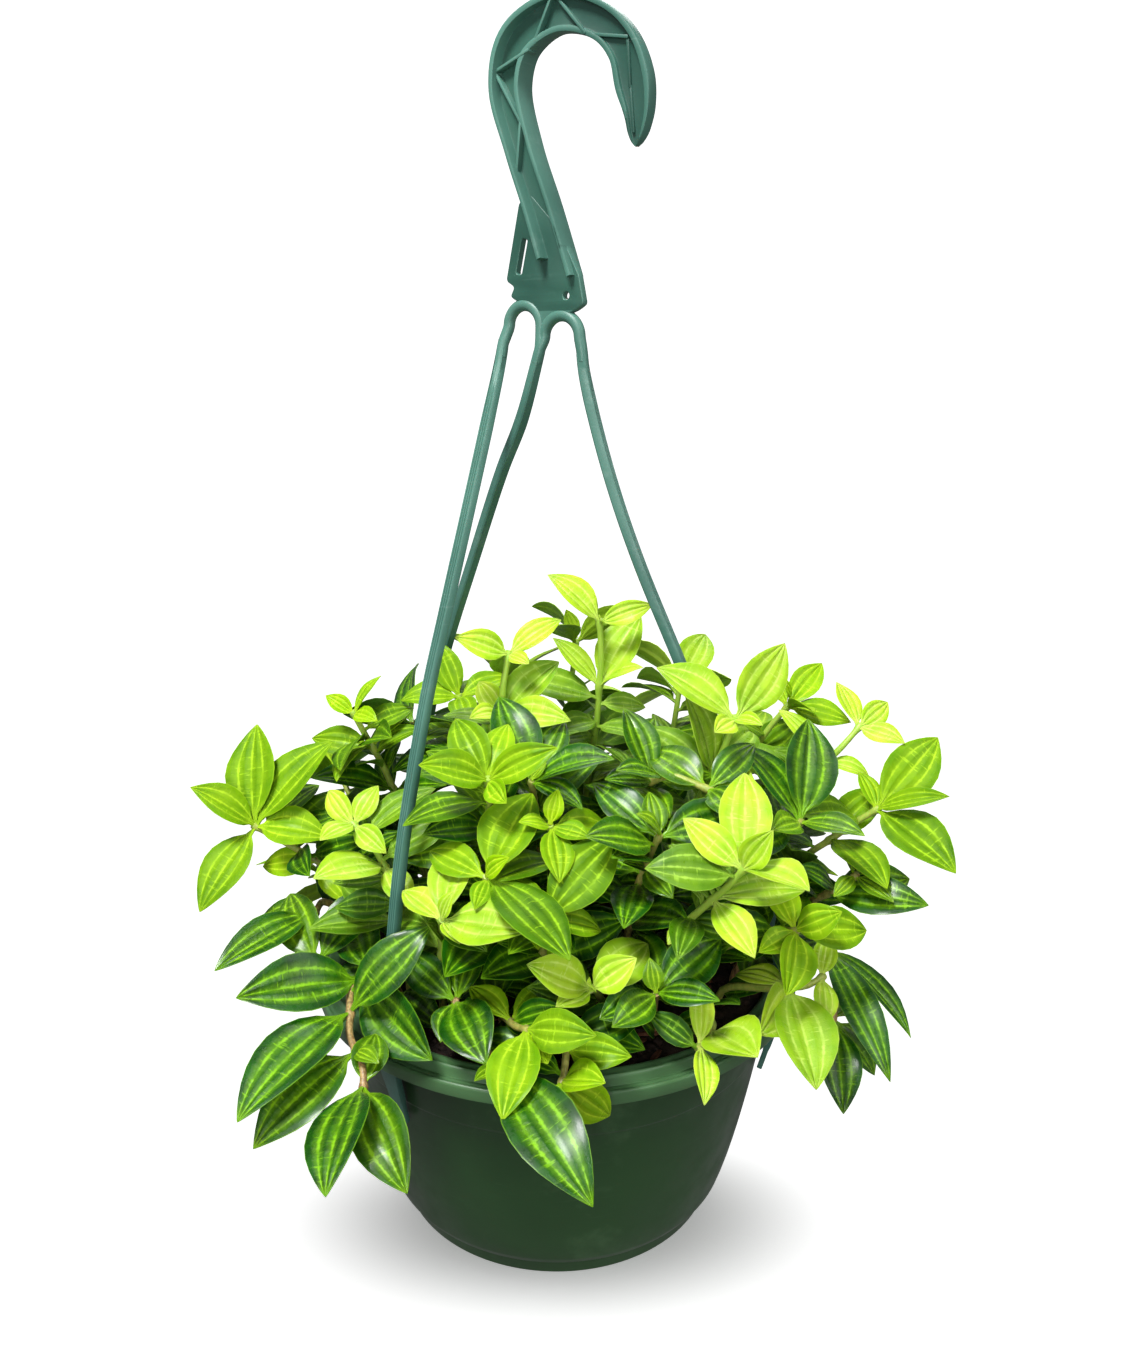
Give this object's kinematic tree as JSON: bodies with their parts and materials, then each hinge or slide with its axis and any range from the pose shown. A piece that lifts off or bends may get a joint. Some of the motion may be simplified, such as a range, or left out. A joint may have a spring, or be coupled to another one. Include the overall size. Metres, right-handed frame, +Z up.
{
  "type": "potted hanging houseplant",
  "caption": "Bushy leafy houseplant with striped oval leaves, in a round plastic pot with a clip-on hook hanger on thin legs.",
  "frame": {"origin": "middle of the pot's underside, on the surface that the pot stands on", "axes": "+Z up along the pot's axis, -Y to the front of the plant, +X to its right"},
  "size_m": [0.2877, 0.2939, 0.4669],
  "materials": {
    "pot": "satin dark green plastic",
    "hanger": "satin grey-green plastic",
    "soil": "moist dark potting mix",
    "leaf_mature": "glossy dark leaf",
    "leaf_fresh": "glossy mid-green leaf",
    "leaf_young": "glossy yellow-green leaf"
  },
  "bodies": {
    "root": {"pot": "pot", "soil": "soil", "hanger_head": "hanger", "hanger_leg_left": "hanger", "hanger_leg_back": "hanger", "hanger_leg_right": "hanger", "stem_back_01": "leaf_mature", "stem_back_02": "leaf_fresh", "stem_back_03": "leaf_fresh", "stem_back_04": "leaf_mature", "stem_back_05": "leaf_young", "stem_back_06": "leaf_fresh", "stem_back_07": "leaf_mature", "stem_back_08": "leaf_mature", "stem_back_09": "leaf_fresh", "stem_back_10": "leaf_fresh", "stem_back_11": "leaf_young", "stem_back_12": "leaf_fresh", "stem_back_13": "leaf_young", "stem_back_14": "leaf_mature", "stem_centre_back": "leaf_mature", "stem_centre_big": "leaf_fresh", "stem_centre_face": "leaf_fresh", "stem_centre_left": "leaf_fresh", "stem_centre_lime": "leaf_young", "stem_centre_right": "leaf_mature", "stem_centre_small": "leaf_fresh", "stem_centre_twig": "leaf_mature", "stem_front_dark": "leaf_mature", "stem_front_drop": "leaf_fresh", "stem_front_hang": "leaf_mature", "stem_front_lime": "leaf_young", "stem_front_trail": "leaf_fresh", "stem_front_yellow": "leaf_young", "stem_left_back": "leaf_fresh", "stem_left_high": "leaf_fresh", "stem_left_inner": "leaf_mature", "stem_left_low": "leaf_mature", "stem_left_trail": "leaf_mature", "stem_left_yellow": "leaf_young", "stem_right_broad": "leaf_young", "stem_right_dark": "leaf_mature", "stem_right_far": "leaf_fresh", "stem_right_hang": "leaf_mature", "stem_right_mid": "leaf_fresh", "stem_right_rosette": "leaf_young", "stem_right_top": "leaf_young", "stem_right_upright": "leaf_mature", "stem_top": "leaf_young", "stem_top_back_left": "leaf_fresh", "stem_top_far_right": "leaf_fresh", "stem_top_left": "leaf_young", "stem_top_right": "leaf_young"}
  },
  "joints": []
}
